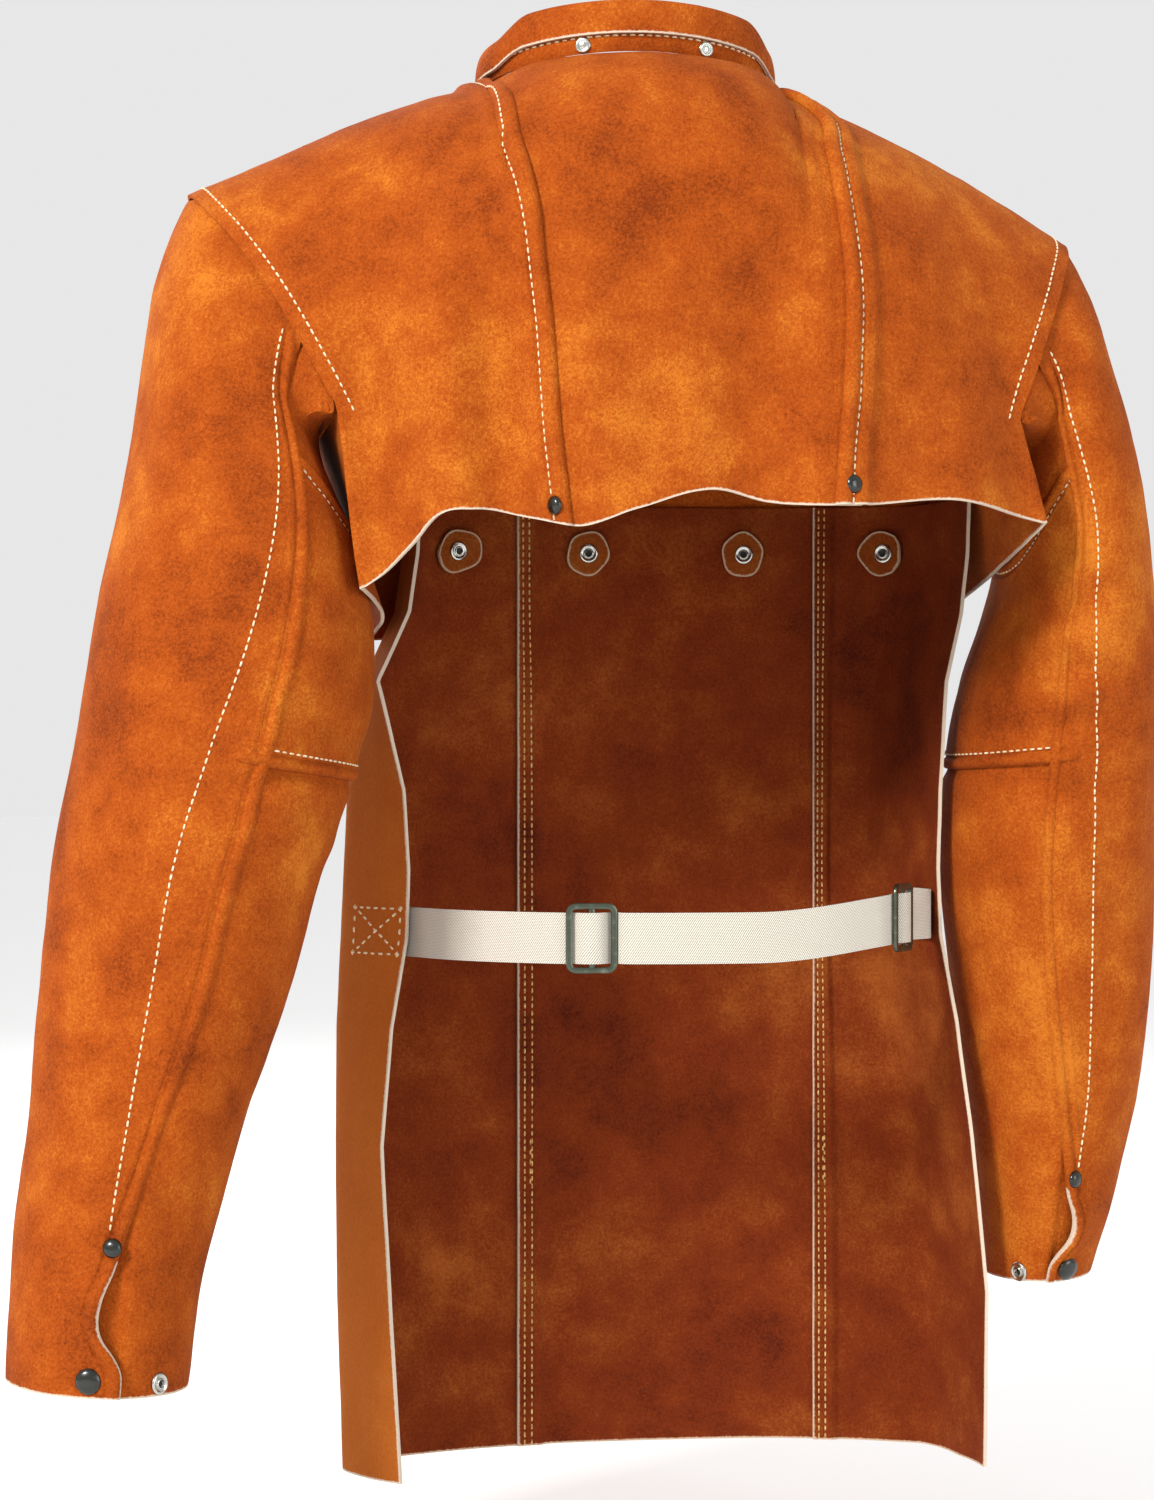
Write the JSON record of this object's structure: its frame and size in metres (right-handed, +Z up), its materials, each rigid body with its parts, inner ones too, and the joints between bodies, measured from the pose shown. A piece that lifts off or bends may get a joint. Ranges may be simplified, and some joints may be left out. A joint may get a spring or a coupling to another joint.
{
  "type": "welding cape with bib",
  "caption": "Split-leather welding cape with sleeves, a snap-hung bib and a webbing waist strap, kept in its worn form.",
  "frame": {"origin": "centre of the neck opening, level with the tops of the shoulders, where the cape sits on its wearer", "axes": "+Z up, +X towards the wearer's left, +Y towards the wearer's back"},
  "size_m": [0.5965, 0.2476, 0.7446],
  "materials": {
    "suede": "napped",
    "bib_flesh": "rough flesh side",
    "webbing": "matt twill",
    "black_enamel": "gloss",
    "nickel": "satin",
    "gunmetal": "satin"
  },
  "bodies": {
    "root": {"back_center_panel": "suede", "left_side_panel": "suede", "right_side_panel": "suede", "collar_band": "suede", "collar_leaf": "suede", "left_collar_stud": "nickel", "right_collar_stud": "nickel", "left_sleeve_outer": "suede", "left_sleeve_gusset": "suede", "left_sleeve_under_upper": "suede", "left_sleeve_under_lower": "suede", "left_cuff_rivet": "black_enamel", "left_cuff_cap": "black_enamel", "left_cuff_stud": "nickel", "right_sleeve_outer": "suede", "right_sleeve_gusset": "suede", "right_sleeve_under_upper": "suede", "right_sleeve_under_lower": "suede", "right_cuff_rivet": "black_enamel", "right_cuff_cap": "black_enamel", "right_cuff_stud": "nickel", "left_back_rivet": "black_enamel", "right_back_rivet": "black_enamel", "closure_cap_1": "black_enamel", "closure_cap_2": "black_enamel", "closure_cap_3": "black_enamel", "closure_cap_4": "black_enamel", "bib_right_panel": "bib_flesh", "bib_center_panel": "bib_flesh", "bib_left_panel": "bib_flesh", "bib_patch_1": "bib_flesh", "bib_post_1": "nickel", "bib_cap_1": "black_enamel", "bib_patch_2": "bib_flesh", "bib_post_2": "nickel", "bib_cap_2": "black_enamel", "bib_patch_3": "bib_flesh", "bib_post_3": "nickel", "bib_cap_3": "black_enamel", "bib_patch_4": "bib_flesh", "bib_post_4": "nickel", "bib_cap_4": "black_enamel", "waist_strap": "webbing", "strap_anchor": "webbing", "strap_slider": "gunmetal", "end_slider": "gunmetal"}
  },
  "joints": []
}
